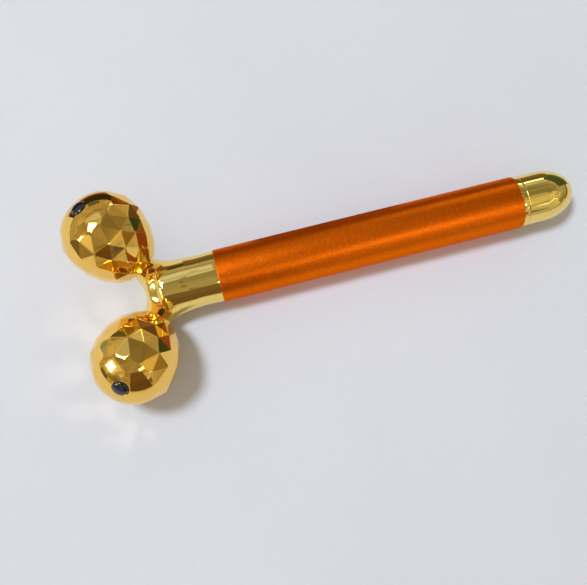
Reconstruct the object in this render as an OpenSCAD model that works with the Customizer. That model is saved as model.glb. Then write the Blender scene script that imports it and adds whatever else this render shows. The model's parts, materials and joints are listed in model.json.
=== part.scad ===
// Battery-powered double-ball face roller.
// Frame: the origin is on the handle's axis, midway along the tube. +X runs along the
// handle from the head to the tail, +Z points up, and the roller lies on its tube and
// both balls at z = -tube_od / 2.

/* [Handle] */
// Length of the coloured tube
handle_len = 106.1; // [95:0.1:130]
// Outer diameter of the tube
tube_od = 18; // [16.2:0.1:22]
// Wall of the aluminium tube
tube_wall = 0.9; // [0.7:0.05:1.0]

/* [Yoke] */
// Step down from the tube to the collar and to the tail ring
trim_step = 0.2; // [0.16:0.01:0.4]
// Length of the round collar in front of the tube
collar_len = 12.5; // [9:0.1:16]
// Distance from the tube's front edge to the middle of each shoulder
shoulder_reach = 18.1; // [17.5:0.1:18.8]
// Radius of each round shoulder, where an arm leaves the collar
shoulder_r = 7.2; // [6.6:0.05:7.5]
// Distance between the middles of the two shoulders
shoulder_spread = 5.2; // [4.4:0.1:6]
// Radius of both arms
arm_r = 4; // [3.6:0.05:4.4]
// Distance from an arm's foot back to its bend
arm_bend = 3.6; // [2.5:0.1:5]
// Radius of the round post inside each ball's mouth
post_r = 4; // [3.4:0.05:4.3]
// Height of the yoke's underside above the surface that the handle lies on
under_gap = 0.2; // [0.1:0.05:0.6]
// Depth to which the yoke's spigot enters the tube
spigot_len = 11; // [9:0.1:14]

/* [Balls] */
// Diameter of a ball at its waist, across the axle
ball_d = 28.6; // [27:0.1:30]
// Length from a ball's waist forward to its tip
ball_front = 12.8; // [12.2:0.1:15]
// Length from the waist back to where the tapering rear would end
ball_rear = 21.2; // [20:0.1:24]
// Distance from the tube's front edge to a ball's waist, along the handle
ball_reach = 33; // [32:0.1:37]
// Distance between the middles of the two balls' waists
ball_spread = 43.9; // [42:0.1:48]
// Rise of each axle above the surface that the roller lies on, in degrees
axle_rise = 46.6; // [44:0.1:50]
// Turn of each axle away from the handle's axis, in degrees
axle_splay = 57.9; // [54:0.1:62]
// Facet corners round a ball
facets_round = 15; // [12:1:18]
// Distance from the waist forward to the edge of the smooth dome
dome_level = 8.6; // [7.6:0.1:9.4]
// Distance between two rows of facet corners, along the axle
row_len = 4.74; // [4.4:0.01:4.9]
// Rings of facets behind the dome
ring_count = 5; // [5:1:5]
// Turn of the facets of the ball on the +Y side, in degrees
facet_turn_a = 17.7; // [0:0.1:24]
// Turn of the facets of the ball on the -Y side, in degrees
facet_turn_b = 11.4; // [0:0.1:24]

/* [Ball bearings] */
// Diameter of the steel axle
axle_d = 3; // [2.5:0.1:3.4]
// Outer diameter of both bushes
bush_d = 4.6; // [4.4:0.1:4.8]
// Length of each bush in its seat
bush_len = 5; // [3:0.1:6]
// Diameter of the rear bush's flange and of the thrust washer
flange_d = 8.2; // [7:0.1:8.4]
// Thickness of the rear bush's flange
flange_t = 0.8; // [0.6:0.05:1.2]
// Thickness of the thrust washer
washer_t = 0.5; // [0.3:0.05:0.8]
// Diameter of the open mouth at a ball's rear
mouth_d = 11.6; // [10.8:0.1:13]
// Depth of the mouth to the rear bush's seat
mouth_depth = 4.3; // [3.5:0.1:5.5]
// Distance from a ball's centre to the front bush's inner end, towards the tip
front_bush_at = 2; // [1:0.1:4]
// Thickness of the retaining clip
clip_t = 0.6; // [0.4:0.05:0.9]
// Diameter of the retaining clip
clip_d = 4; // [3.8:0.1:4.1]
// Diameter of the clip's groove in the axle
groove_d = 2.3; // [2:0.05:2.4]
// Axle that stands past its clip
axle_tip = 1; // [0.6:0.1:2]
// Depth to which an axle sits in its post
socket_depth = 6; // [4:0.1:7]

/* [Stones] */
// Diameter of the domed stone in a ball's tip
stone_d = 5.3; // [5.1:0.05:6.5]
// Height of the stone's straight side in its seat
stone_seat = 1.3; // [0.8:0.05:2]
// Height of the stone's dome
stone_dome = 0.9; // [0.5:0.05:1.4]

/* [Tail] */
// Width of the ring that shows behind the tube
ring_w = 1.85; // [1.2:0.05:3]
// Length of the ring's sleeve inside the tube
sleeve_len = 8; // [6.5:0.1:10]
// Wall of the ring's sleeve
sleeve_wall = 0.7; // [0.5:0.05:0.8]
// Seam between the ring and the closed end cap
cap_seam = 0.06; // [0.05:0.01:0.2]
// Step down from the tail ring to the end cap
cap_step = 0.05; // [0.02:0.01:0.3]
// Length of the end cap's straight side
cap_side = 6.7; // [5:0.1:10]
// Length of the end cap's dome
cap_dome = 12; // [9:0.1:14]
// Length of the end cap's screwed shank
shank_len = 7.4; // [6:0.1:9]
// Wall of the shank round its hollow
shank_wall = 1.9; // [1.7:0.05:2.3]
// Depth of that hollow past the cap's front edge
shank_hollow = 3; // [2:0.1:5]
// Thickness of the sealing ring
seal_t = 0.9; // [0.7:0.05:1]

/* [Battery] */
// Wall of the insulating liner round the cell
liner_wall = 0.6; // [0.5:0.05:0.9]
// Length of the cell with its terminal
cell_len = 50.5; // [48:0.1:51]
// Diameter of the cell's terminal
terminal_d = 5.5; // [5:0.1:6]
// Height of the cell's terminal
terminal_h = 1.2; // [1:0.1:1.6]
// Wire diameter of the battery spring
spring_wire = 0.7; // [0.5:0.05:0.8]
// Room between the spring's wide end and the shank
spring_room = 0.6; // [0.4:0.1:1.2]
// Step from the spring's wide end down to its narrow end
spring_taper = 1.8; // [1:0.1:2.4]
// Length of the spring as fitted
spring_len = 18; // [14:0.5:20]
// Turns of the spring
spring_turns = 5; // [4:1:7]
// Thickness of the contact disc behind the spring
disc_t = 0.6; // [0.4:0.05:1]
// Thickness of the contact carrier in front of the cell
carrier_t = 3.5; // [3:0.1:5]
// Thickness of the positive contact plate
plate_t = 0.4; // [0.3:0.05:0.6]
// Height of the positive contact's dimple
dimple_h = 1.2; // [0.8:0.1:1.6]

/* [Motor] */
// Diameter of the motor's can
motor_d = 10; // [9:0.1:10.4]
// Length of the motor's can
motor_len = 12; // [10:0.1:13]
// Wall of the motor's can
can_wall = 0.3; // [0.25:0.05:0.4]
// Thickness of the magnet ring
magnet_t = 0.8; // [0.6:0.05:1]
// Thickness of the motor's plastic end
end_bell_t = 2; // [1.6:0.1:3]
// Diameter of the motor's shaft
shaft_d = 1.5; // [1.2:0.1:2]
// Diameter of the motor's front bearing
bearing_d = 3.6; // [3:0.1:4]
// Radius of the off-centre weight
weight_r = 4.4; // [3.6:0.1:4.8]
// Length of the off-centre weight
weight_len = 4; // [3:0.1:5]
// Wall of the rubber sleeve round the motor
sleeve_rubber_t = 1.1; // [0.8:0.05:1.4]
// Diameter of the leads
lead_d = 1.2; // [0.9:0.1:1.4]
// Height of a soldering tab
tab_h = 2.4; // [1.8:0.1:3]
// Thickness of the earth ring between spigot and liner
earth_t = 0.4; // [0.3:0.05:0.6]
// Width of the earth ring's face
earth_w = 1.85; // [1.4:0.05:1.9]

/* [Clearances] */
// Radial gap of a running fit
run_gap = 0.04; // [0.02:0.01:0.08]
// Radial gap between parts that are pushed together
slip_gap = 0.05; // [0.03:0.01:0.08]
// Gap between end faces that meet
face_gap = 0.05; // [0.03:0.01:0.1]
// Radial gap between the cell and its liner
cell_gap = 0.2; // [0.1:0.05:0.3]
// Gap between a ball and the yoke that carries it
ball_gap = 0.6; // [0.4:0.05:1]

/* [Hidden] */

ROUND = 96;
BLEND = 32;
EPS = 0.01;
A = 1;
B = -1;

tube_r = tube_od / 2;
tube_in_r = tube_r - tube_wall;
inside_r = tube_in_r - slip_gap;
trim_r = tube_r - trim_step;
head_x = -handle_len / 2;
tail_x = handle_len / 2;

// Balls: levels along an axle, measured from the ball's waist towards its tip.
ball_r = ball_d / 2;
rear_level = dome_level - ring_count * row_len;
axle_r = axle_d / 2;
seat_r = bush_d / 2 + slip_gap;
mouth_floor = rear_level + mouth_depth;
post_top = mouth_floor - flange_t - washer_t - 3 * face_gap;
front_bush_end = front_bush_at + bush_len;
clip_level = front_bush_end + face_gap;
groove_t = clip_t + 2 * face_gap;
axle_end = clip_level + groove_t + axle_tip;
stone_r = stone_d / 2;
stone_floor = ball_front * sqrt(1 - pow(stone_r / ball_r, 2)) - stone_seat;

// Radius of a ball at a level along its axle: one half spheroid before the waist, and a
// longer one behind it.
function ball_radius(level, grown = 0) = let (half = (level > 0 ? ball_front : ball_rear) + grown)
    (ball_r + grown) * sqrt(1 - pow(level / half, 2));

// Height of a ball's waist above the handle's axis, so that the ball's lowest point lies
// level with the tube's.
tangent_level = -pow(ball_rear, 2) * sin(axle_rise)
    / norm([ball_rear * sin(axle_rise), ball_r * cos(axle_rise)]);
rest_level = max(rear_level, tangent_level);
ball_lift = ball_radius(rest_level) * cos(axle_rise) - rest_level * sin(axle_rise) - tube_r;

// Yoke: where an arm's foot meets its post, and how deep the axle sits in it.
foot_t = 1.5;
foot_level = rear_level - ball_gap - foot_t;
socket_end = post_top - socket_depth;
under_z = under_gap - tube_r;
arm_z = under_z + arm_r;

// Motor: levels along X, from the pocket's floor in the collar towards the tail.
motor_r = motor_d / 2;
pocket_r = motor_r + sleeve_rubber_t + 2 * slip_gap;
tab_room = 1;
bell_front_x = head_x + spigot_len - end_bell_t - tab_h - tab_room;
can_front_x = bell_front_x - motor_len;
weight_gap = 0.8;
bell_plug = 1;
weight_x = can_front_x - weight_gap - weight_len;
pocket_x = weight_x - weight_gap;
shaft_r = shaft_d / 2;
spigot_x = head_x + spigot_len;
tab_w = 1.6;
tab_t = 0.4;
tab_y = motor_r - tab_w;
tab_x = bell_front_x + end_bell_t + tab_h;

// Tail: levels along X from the tube's rear edge.
bore_r = inside_r - sleeve_wall;
shank_r = bore_r - run_gap - EPS;
cap_x = tail_x + ring_w + cap_seam;
cap_r = trim_r - cap_step;
shank_bore_r = shank_r - shank_wall;
cap_floor_x = cap_x + shank_hollow;
seal_x = cap_x - ring_w / 2;
seal_groove_r = shank_r - seal_t;
sleeve_x = tail_x - sleeve_len;

// Battery: the cell's negative end meets the spring in the cap's shank.
spring_x = cap_floor_x - disc_t - 2 * face_gap - spring_len;
cell_x = spring_x - face_gap - cell_len;
contact_x = cell_x - face_gap - dimple_h - plate_t;
carrier_x = contact_x - face_gap - carrier_t;
liner_in_r = inside_r - liner_wall;
cell_r = liner_in_r - cell_gap;
liner_x = spigot_x + earth_t + 2 * face_gap;
carrier_r = liner_in_r - slip_gap;

function ball_centre(side) = [head_x - ball_reach, side * ball_spread / 2, ball_lift];
function axle_dir(side) = [-cos(axle_rise) * cos(axle_splay),
    side * cos(axle_rise) * sin(axle_splay), sin(axle_rise)];
function on_axle(side, level) = ball_centre(side) + level * axle_dir(side);

// Middle of a shoulder, and an arm's bend on the way to its foot.
function shoulder(side, z = under_z + shoulder_r) = [head_x - shoulder_reach, side * shoulder_spread / 2, z];
function foot_plan(side) = let (f = on_axle(side, foot_level)) [f.x, f.y, arm_z];
function bend(side) = let (f = foot_plan(side), d = f - shoulder(side, arm_z)) f - arm_bend * d / norm(d);

// A profile of [radius, distance] turned round the handle's axis.
module turned(profile) {
    rotate([0, 90, 0]) rotate_extrude($fn = ROUND) polygon(profile);
}

module rod_x(x, len, r) {
    translate([x, 0, 0]) rotate([0, 90, 0]) cylinder(h = len, r = r, $fn = ROUND);
}

module ring_x(x, len, outer, inner) {
    difference() {
        rod_x(x, len, outer);
        rod_x(x - 1, len + 2, inner);
    }
}

// The children's +Z becomes the axle's direction, from the ball's centre.
module on_ball(side) {
    translate(ball_centre(side)) rotate([0, 90 - axle_rise, 180 - side * axle_splay]) children();
}

module rod_z(z, len, r) {
    translate([0, 0, z]) cylinder(h = len, r = r, $fn = ROUND);
}

module ring_z(z, len, outer, inner) {
    difference() {
        rod_z(z, len, outer);
        rod_z(z - 1, len + 2, inner);
    }
}

// ---- Handle ----

module handle_tube() {
    color("#d65a08") ring_x(head_x, handle_len, tube_r, tube_in_r);
}

// Ball envelope with its running gap, cut flat behind the ball's mouth.
module ball_room(side) {
    rear = rear_level - ball_gap;
    front = ball_front + ball_gap;
    steps = 24;
    outline = [for (i = [0:steps]) let (z = rear + (front - rear) * sin(90 * i / steps))
        [i == steps ? 0 : ball_radius(z, ball_gap), z]];
    on_ball(side) rotate_extrude($fn = ROUND) polygon(concat([[0, rear]], outline));
}

module arm_ball(at, r = arm_r) {
    translate(at) sphere(r = r, $fn = BLEND);
}

// Each blended length starts a little inside the one before it.
module arm(side) {
    join = 0.1;
    hull() {
        rod_x(head_x - collar_len - join / 2, join, trim_r - join);
        arm_ball(shoulder(side), shoulder_r);
    }
    hull() {
        arm_ball(shoulder(side), shoulder_r - join);
        arm_ball(bend(side));
    }
    hull() {
        arm_ball(bend(side), arm_r - join);
        on_ball(side) translate([0, 0, foot_level]) cylinder(h = foot_t + ball_gap / 2, r = post_r + join, $fn = BLEND);
    }
}

module yoke() {
    post_base = foot_level + foot_t / 2;
    color("#c9b060") difference() {
        union() {
            difference() {
                union() {
                    rod_x(head_x - collar_len, collar_len, trim_r);
                    arm(A);
                    arm(B);
                }
                ball_room(A);
                ball_room(B);
            }
            rod_x(head_x - EPS, spigot_len + EPS, inside_r);
            for (side = [A, B]) on_ball(side) rod_z(post_base, post_top - post_base, post_r);
        }
        rod_x(pocket_x, spigot_x - pocket_x + 1, pocket_r);
        for (side = [A, B]) on_ball(side) rod_z(socket_end, socket_depth + 1, axle_r + EPS);
    }
}

// ---- Tail ----

module tail_ring() {
    color("#d2b765") difference() {
        union() {
            rod_x(tail_x, ring_w, trim_r);
            rod_x(sleeve_x, sleeve_len + EPS, inside_r);
        }
        rod_x(sleeve_x - 1, sleeve_len + ring_w + 2, bore_r);
    }
}

module end_cap() {
    dome_x = cap_x + cap_side;
    steps = 12;
    dome = [for (i = [0:steps]) let (t = 90 * i / steps) [cap_r * cos(t), dome_x + cap_dome * sin(t)]];
    groove_x = seal_x - seal_t / 2 - face_gap;
    groove_w = seal_t + 2 * face_gap;
    color("#d2b765") difference() {
        union() {
            turned(concat([[0, cap_x], [cap_r, cap_x]], dome));
            rod_x(cap_x - shank_len, shank_len + EPS, shank_r);
        }
        rod_x(cap_x - shank_len - 1, shank_len + 1 + shank_hollow, shank_bore_r);
        ring_x(groove_x, groove_w, shank_r + 1, seal_groove_r);
    }
}

module cap_seal() {
    ring_r = seal_groove_r + seal_t / 2 + run_gap / 2;
    color("#202022") rotate([0, 90, 0]) translate([0, 0, seal_x])
        rotate_extrude($fn = ROUND) translate([ring_r, 0]) circle(d = seal_t - run_gap, $fn = BLEND);
}

// A tapering coil from the disc in the cap to the cell, as a swept round wire.
module battery_spring() {
    sides = 6;
    per_turn = 16;
    steps = spring_turns * per_turn;
    wire_r = spring_wire / 2;
    rise = spring_len - spring_wire;
    base_r = shank_bore_r - spring_room - wire_r;
    tip_r = base_r - spring_taper;
    points = [for (i = [0:steps], k = [0:sides - 1])
        let (t = i / steps, r = base_r + (tip_r - base_r) * t,
            out = r + wire_r * cos(k * 360 / sides),
            x = cap_floor_x - disc_t - 2 * face_gap - wire_r - rise * t + wire_r * sin(k * 360 / sides))
        [x, out * cos(360 * i / per_turn), out * sin(360 * i / per_turn)]];
    walls = [for (i = [0:steps - 1], k = [0:sides - 1]) let (a = i * sides, n = (k + 1) % sides)
        [a + k, a + n, a + sides + n, a + sides + k]];
    ends = [[for (k = [0:sides - 1]) sides - 1 - k], [for (k = [0:sides - 1]) steps * sides + k]];
    color("#b9bcc0") polyhedron(points = points, faces = concat(walls, ends));
}

module spring_disc() {
    color("#c7a24a") rod_x(cap_floor_x - disc_t - face_gap, disc_t, shank_bore_r - slip_gap);
}

// ---- Battery ----

module battery_cell() {
    shoulder = 0.6;
    color("#3c4a5a") turned([[0, cell_x], [terminal_d / 2, cell_x], [terminal_d / 2, cell_x + terminal_h],
        [cell_r - shoulder, cell_x + terminal_h], [cell_r, cell_x + terminal_h + shoulder],
        [cell_r, cell_x + cell_len - shoulder], [cell_r - shoulder, cell_x + cell_len],
        [0, cell_x + cell_len]]);
}

module battery_liner() {
    color("#e9e6dc") ring_x(liner_x, sleeve_x - face_gap - liner_x, inside_r, liner_in_r);
}

module contact_carrier() {
    recess = 1.2;
    rim = 1.5;
    color("#26282b") difference() {
        rod_x(carrier_x, carrier_t, carrier_r);
        rod_x(carrier_x - 1, recess + 1, carrier_r - rim);
        translate([0, tab_y, 0]) rod_x(carrier_x - 1, carrier_t + 2, lead_d / 2 + slip_gap);
    }
}

module positive_contact() {
    plate_r = carrier_r - 1.6;
    dimple_r = terminal_d / 2 - 0.6;
    dimple_tip_r = dimple_r - 1;
    face_x = contact_x + plate_t;
    color("#c7a24a") turned([[0, contact_x], [plate_r, contact_x], [plate_r, face_x],
        [dimple_r, face_x], [dimple_tip_r, face_x + dimple_h], [0, face_x + dimple_h]]);
}

// Thin ring that joins the black lead to the inside of the tube.
module earth_ring() {
    color("#c7a24a") ring_x(spigot_x + face_gap, earth_t, tube_in_r - EPS, tube_in_r - EPS - earth_w);
}

// ---- Leads: a round wire swept along points that follow a bow or a loop ----

// The side direction stays square to the wire all along its route.
module lead(route, side) {
    sides = 8;
    last = len(route) - 1;
    rings = [for (i = [0:last], k = [0:sides - 1])
        let (run = route[min(i + 1, last)] - route[max(i - 1, 0)], t = run / norm(run),
            u = cross(side, t) / norm(cross(side, t)), v = cross(t, u), a = k * 360 / sides)
        route[i] + lead_d / 2 * (cos(a) * u + sin(a) * v)];
    walls = [for (i = [0:last - 1], k = [0:sides - 1]) let (a = i * sides, n = (k + 1) % sides)
        [a + k, a + sides + k, a + sides + n, a + n]];
    ends = [[for (k = [0:sides - 1]) k], [for (k = [0:sides - 1]) last * sides + sides - 1 - k]];
    polyhedron(points = rings, faces = concat(walls, ends));
}

module red_lead() {
    bow = 2.2;
    sag = 0.8;
    steps = 16;
    start = tab_x + face_gap;
    run = carrier_x + carrier_t - start;
    color("#b3261e") lead([for (i = [0:steps]) let (t = i / steps, swell = pow(sin(180 * t), 2))
        [start + run * t, tab_y - sag * swell, bow * swell]], [0, 1, 0]);
}

module black_lead() {
    steps = 10;
    straight = 3;
    rim = liner_in_r - lead_d / 2 - 2 * slip_gap;
    turn_r = (rim - tab_y) / 2;
    start = tab_x + face_gap;
    end = spigot_x + 2 * face_gap + earth_t;
    color("#1d1d1f") lead(concat([[start, -tab_y, 0]],
        [for (i = [0:steps]) let (a = 180 * i / steps)
            [start + straight + turn_r * sin(a), -tab_y - turn_r * (1 - cos(a)), 0]],
        [[end, -rim, 0]]), [0, 0, 1]);
}

// ---- Vibration motor ----

module motor_sleeve() {
    color("#2b2d30") ring_x(can_front_x, motor_len, pocket_r - slip_gap, motor_r + slip_gap);
}

module motor_can() {
    color("#b9bcc0") difference() {
        rod_x(can_front_x, motor_len, motor_r);
        rod_x(can_front_x + can_wall, motor_len, motor_r - can_wall);
        rod_x(can_front_x - 1, can_wall + 2, bearing_d / 2 + slip_gap);
    }
}

module motor_magnet() {
    end_room = 1.2;
    outer = motor_r - can_wall - slip_gap;
    color("#3a3b3e") ring_x(can_front_x + can_wall + end_room, motor_len - can_wall - 2 * end_room, outer, outer - magnet_t);
}

module motor_bearing() {
    length = 1.6;
    stand = 0.3;
    color("#b08042") ring_x(can_front_x - stand, length, bearing_d / 2, shaft_r + run_gap);
}

module motor_end_bell() {
    tabs_gap = 0.02;
    join = 0.2;
    rim_step = 0.1;
    color("#e9e6dc") difference() {
        union() {
            rod_x(bell_front_x + face_gap, end_bell_t, motor_r - rim_step);
            rod_x(bell_front_x - bell_plug, bell_plug + join, motor_r - can_wall - slip_gap);
        }
        rod_x(bell_front_x - bell_plug - 1, end_bell_t, shaft_r + run_gap);
        for (side = [A, B]) tab(side, tabs_gap);
    }
}

module tab(side, grow = 0) {
    thick = tab_t + 2 * grow;
    width = tab_w + 2 * grow;
    depth = end_bell_t / 2 + grow;
    translate([tab_x - tab_h - depth, side * tab_y - thick / 2, -width / 2]) cube([depth + tab_h, thick, width]);
}

module motor_tabs() {
    color("#c7a24a") for (side = [A, B]) tab(side);
}

module motor_shaft() {
    end = bell_front_x - bell_plug + end_bell_t - 1 - face_gap;
    color("#c8cbd0") rod_x(weight_x, end - weight_x, shaft_r);
}

module motor_armature() {
    air_gap = 0.3;
    end_room = 1.9;
    outer = motor_r - can_wall - slip_gap - magnet_t - air_gap;
    color("#8a5a32") ring_x(can_front_x + can_wall + end_room, motor_len - can_wall - 2 * end_room, outer, shaft_r + EPS);
}

module eccentric_weight() {
    hub_r = shaft_r + 0.9;
    wide = weight_r + 1;
    color("#8d9094") difference() {
        union() {
            rod_x(weight_x, weight_len, hub_r);
            intersection() {
                rod_x(weight_x, weight_len, weight_r);
                translate([weight_x - 1, -wide, -wide]) cube([weight_len + 2, 2 * wide, wide]);
            }
        }
        rod_x(weight_x - 1, weight_len + 2, shaft_r + EPS);
    }
}

// ---- Balls ----

// Rings of triangles whose corners lie on the ball's round outline. Above the first ring
// the same planes run on to a point over the tip.
module faceted_form(turn) {
    n = facets_round;
    step = 360 / n;
    levels = [for (i = [0:ring_count]) dome_level - i * row_len];
    radii = [for (z = levels) ball_radius(z)];
    rows = len(levels);
    chord = radii[0] * cos(step / 2);
    apex_z = levels[0] + row_len * chord / (radii[1] - chord);
    points = concat([[0, 0, apex_z]],
        [for (i = [0:rows - 1], k = [0:n - 1]) let (a = turn + (k + (i % 2) / 2) * step)
            [radii[i] * cos(a), radii[i] * sin(a), levels[i]]]);
    function at(i, k) = 1 + i * n + (k + n) % n;
    point_faces = [for (k = [0:n - 1]) [0, at(0, k + 1), at(0, k)]];
    wall_faces = [for (i = [0:rows - 2], k = [0:n - 1])
        let (lean = i % 2) each [[at(i, k), at(i, k + 1), at(i + 1, k + lean)],
            [at(i + 1, k + lean), at(i + 1, k + lean - 1), at(i, k)]]];
    end_face = [[for (k = [0:n - 1]) at(rows - 1, k)]];
    polyhedron(points = points, faces = concat(point_faces, wall_faces, end_face));
}

// Cuts those planes back to the smooth dome round the tip, and leaves the rings alone.
module dome_cutter() {
    steps = 12;
    edge = acos(dome_level / ball_front);
    wide = ball_r + 1;
    dome = [for (i = [0:steps]) let (t = edge * i / steps)
        [ball_r * sin(t) + (i == 0 ? 0 : EPS), ball_front * cos(t)]];
    rotate_extrude($fn = ROUND)
        polygon(concat(dome, [[wide, dome_level], [wide, rear_level - 1], [0, rear_level - 1]]));
}

module ball(side, turn) {
    axle_room = 0.5;
    color("#d99a20") on_ball(side) difference() {
        intersection() {
            faceted_form(turn);
            dome_cutter();
        }
        rod_z(rear_level - 1, mouth_depth + 1, mouth_d / 2);
        rod_z(mouth_floor - 1, bush_len + 1, seat_r);
        rod_z(mouth_floor, ball_front, axle_r + axle_room);
        rod_z(front_bush_at, ball_front, seat_r);
        rod_z(stone_floor, ball_front, stone_r + slip_gap);
    }
}

module stone(side) {
    steps = 8;
    top = stone_floor + face_gap + stone_seat;
    dome = [for (i = [0:steps]) let (t = 90 * i / steps) [stone_r * cos(t), top + stone_dome * sin(t)]];
    color("#1b1c22") on_ball(side) rotate_extrude($fn = ROUND)
        polygon(concat([[0, stone_floor + face_gap], [stone_r, stone_floor + face_gap]], dome));
}

module front_bush(side) {
    color("#f0ece0") on_ball(side) ring_z(front_bush_at + face_gap, bush_len - 2 * face_gap, bush_d / 2, axle_r + run_gap);
}

module rear_bush(side) {
    color("#f0ece0") on_ball(side) difference() {
        union() {
            rod_z(mouth_floor - face_gap, bush_len, bush_d / 2);
            rod_z(mouth_floor - face_gap - flange_t, flange_t, flange_d / 2);
        }
        rod_z(mouth_floor - flange_t - 1, flange_t + bush_len + 2, axle_r + run_gap);
    }
}

module thrust_washer(side) {
    color("#c8cbd0") on_ball(side) ring_z(post_top + face_gap, washer_t, flange_d / 2, axle_r + run_gap);
}

module axle(side) {
    color("#c8cbd0") on_ball(side) difference() {
        rod_z(socket_end + face_gap, axle_end - socket_end - face_gap, axle_r);
        ring_z(clip_level, groove_t, axle_r + 1, groove_d / 2);
    }
}

module axle_clip(side) {
    opening = 1.6;
    color("#8d9094") on_ball(side) difference() {
        ring_z(clip_level + face_gap, clip_t, clip_d / 2, groove_d / 2 + EPS);
        translate([0, -opening / 2, clip_level]) cube([clip_d, opening, clip_t + 1]);
    }
}

module ball_a() { ball(A, facet_turn_a); }
module ball_b() { ball(B, facet_turn_b); }
module stone_a() { stone(A); }
module stone_b() { stone(B); }
module front_bush_a() { front_bush(A); }
module front_bush_b() { front_bush(B); }
module rear_bush_a() { rear_bush(A); }
module rear_bush_b() { rear_bush(B); }
module thrust_washer_a() { thrust_washer(A); }
module thrust_washer_b() { thrust_washer(B); }
module axle_a() { axle(A); }
module axle_b() { axle(B); }
module axle_clip_a() { axle_clip(A); }
module axle_clip_b() { axle_clip(B); }

handle_tube();
yoke();
tail_ring();
end_cap();
cap_seal();
battery_spring();
spring_disc();
battery_cell();
battery_liner();
contact_carrier();
positive_contact();
earth_ring();
red_lead();
black_lead();
motor_sleeve();
motor_can();
motor_magnet();
motor_bearing();
motor_end_bell();
motor_tabs();
motor_shaft();
motor_armature();
eccentric_weight();
ball_a();
ball_b();
stone_a();
stone_b();
front_bush_a();
front_bush_b();
rear_bush_a();
rear_bush_b();
thrust_washer_a();
thrust_washer_b();
axle_a();
axle_b();
axle_clip_a();
axle_clip_b();
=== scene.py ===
# %% [markdown]
# # A vibrating double-ball face roller
# A slim handle holds a battery and a small motor. A plated fork carries two faceted
# balls that turn freely on steel axles, and a round cap closes the tail. The packed
# model gives every solid its true place, so this lesson only adds the looks.

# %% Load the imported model
import json
import math
import bmesh
import bpy
import numpy as np
from mathutils import Matrix, Vector


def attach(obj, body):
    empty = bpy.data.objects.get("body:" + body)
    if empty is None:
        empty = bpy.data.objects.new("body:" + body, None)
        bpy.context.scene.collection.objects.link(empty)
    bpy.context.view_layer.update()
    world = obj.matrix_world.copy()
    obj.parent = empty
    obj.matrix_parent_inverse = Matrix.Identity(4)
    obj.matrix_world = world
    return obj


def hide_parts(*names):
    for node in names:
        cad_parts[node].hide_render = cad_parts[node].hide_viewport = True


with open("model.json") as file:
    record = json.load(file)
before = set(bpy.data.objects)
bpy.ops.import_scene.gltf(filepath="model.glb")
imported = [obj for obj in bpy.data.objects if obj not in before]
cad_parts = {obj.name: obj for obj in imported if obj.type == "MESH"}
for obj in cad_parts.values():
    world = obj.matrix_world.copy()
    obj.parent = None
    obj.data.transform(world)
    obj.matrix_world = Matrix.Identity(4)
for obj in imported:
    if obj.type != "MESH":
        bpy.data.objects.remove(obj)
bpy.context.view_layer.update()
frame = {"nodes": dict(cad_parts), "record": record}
nodes = frame["nodes"]
MM = 0.001


def in_scene(name, data):
    """A new object with its data, in the scene's own collection."""
    thing = bpy.data.objects.new(name, data)
    bpy.context.scene.collection.objects.link(thing)
    return thing


def spot(r, angle, z):
    """A point at radius r and an angle in radians round the Z axis."""
    return r * math.cos(angle), r * math.sin(angle), z


print("solids", len(nodes))

# %% [markdown]
# ## Camera
# The roller lies on a table and is seen almost from above. A camera can be aimed with
# a constraint, but writing its three axes down keeps it exact: right, up and back are
# the columns of its matrix. A lens of 48 mm on a 36 mm sensor gives the calm
# perspective of a phone held a forearm's length away.

# %% Place the camera
view_right = Vector((0.9670667, -0.2500784, 0.0473590))
view_up = Vector((0.2436262, 0.9633599, 0.1121785))
view_back = view_right.cross(view_up)
eye = Vector((-49.4813, -37.5851, 265.2082)) * MM
camera = in_scene("camera", bpy.data.cameras.new("camera"))
camera.data.sensor_fit = "HORIZONTAL"
camera.data.sensor_width = 36
camera.data.lens = 48.193
camera.data.clip_start = 0.01
camera.matrix_world = Matrix((
    (view_right.x, view_up.x, view_back.x, eye.x),
    (view_right.y, view_up.y, view_back.y, eye.y),
    (view_right.z, view_up.z, view_back.z, eye.z),
    (0, 0, 0, 1)))
bpy.context.scene.camera = camera
bpy.context.scene.view_settings.view_transform = "Standard"
print("camera at mm", [round(v / MM) for v in eye])

# %% [markdown]
# ## Shader groups
# An effect that materials share is built once as a node group and placed in each with its
# own values; Blender 4.5 makes its sockets with interface.new_socket. The groups only put
# out masks, values and heights; the Principled BSDF itself stays in each material.

# %% Helpers that build node trees
def feed(tree, value, socket):
    """Link another socket to this one, or set it to a plain value."""
    if isinstance(value, bpy.types.NodeSocket):
        tree.links.new(value, socket)
    else:
        socket.default_value = value


def add(tree, kind, links=None, **settings):
    """A ShaderNode with its settings, and its inputs linked or filled by name or number."""
    node = tree.nodes.new("ShaderNode" + kind)
    for name, value in settings.items():
        setattr(node, name, value)
    for key, value in (links or {}).items():
        feed(tree, value, node.inputs[key])
    return node


def math_node(tree, operation, a, b=None, c=None, clamp=False):
    links = {i: v for i, v in enumerate((a, b, c)) if v is not None}
    return add(tree, "Math", links, operation=operation, use_clamp=clamp).outputs[0]


def vector_node(tree, operation, *values):
    node = add(tree, "VectorMath", dict(enumerate(values)), operation=operation)
    return node.outputs["Value" if operation == "DOT_PRODUCT" else "Vector"]


def mix_colour(tree, factor, a, b):
    """From colour a to colour b as the factor goes from 0 to 1."""
    node = add(tree, "Mix", data_type="RGBA")
    inputs = {socket.identifier: socket for socket in node.inputs}
    for key, value in (("Factor_Float", factor), ("A_Color", a), ("B_Color", b)):
        feed(tree, (*value, 1) if isinstance(value, tuple) else value, inputs[key])
    return next(s for s in node.outputs if s.identifier == "Result_Color")


def remap(tree, value, low, high, to_low=0.0, to_high=1.0):
    return add(tree, "MapRange", {
        "Value": value, "From Min": low, "From Max": high,
        "To Min": to_low, "To Max": to_high}).outputs[0]


def object_place(tree):
    return add(tree, "TexCoord").outputs["Object"]


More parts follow.
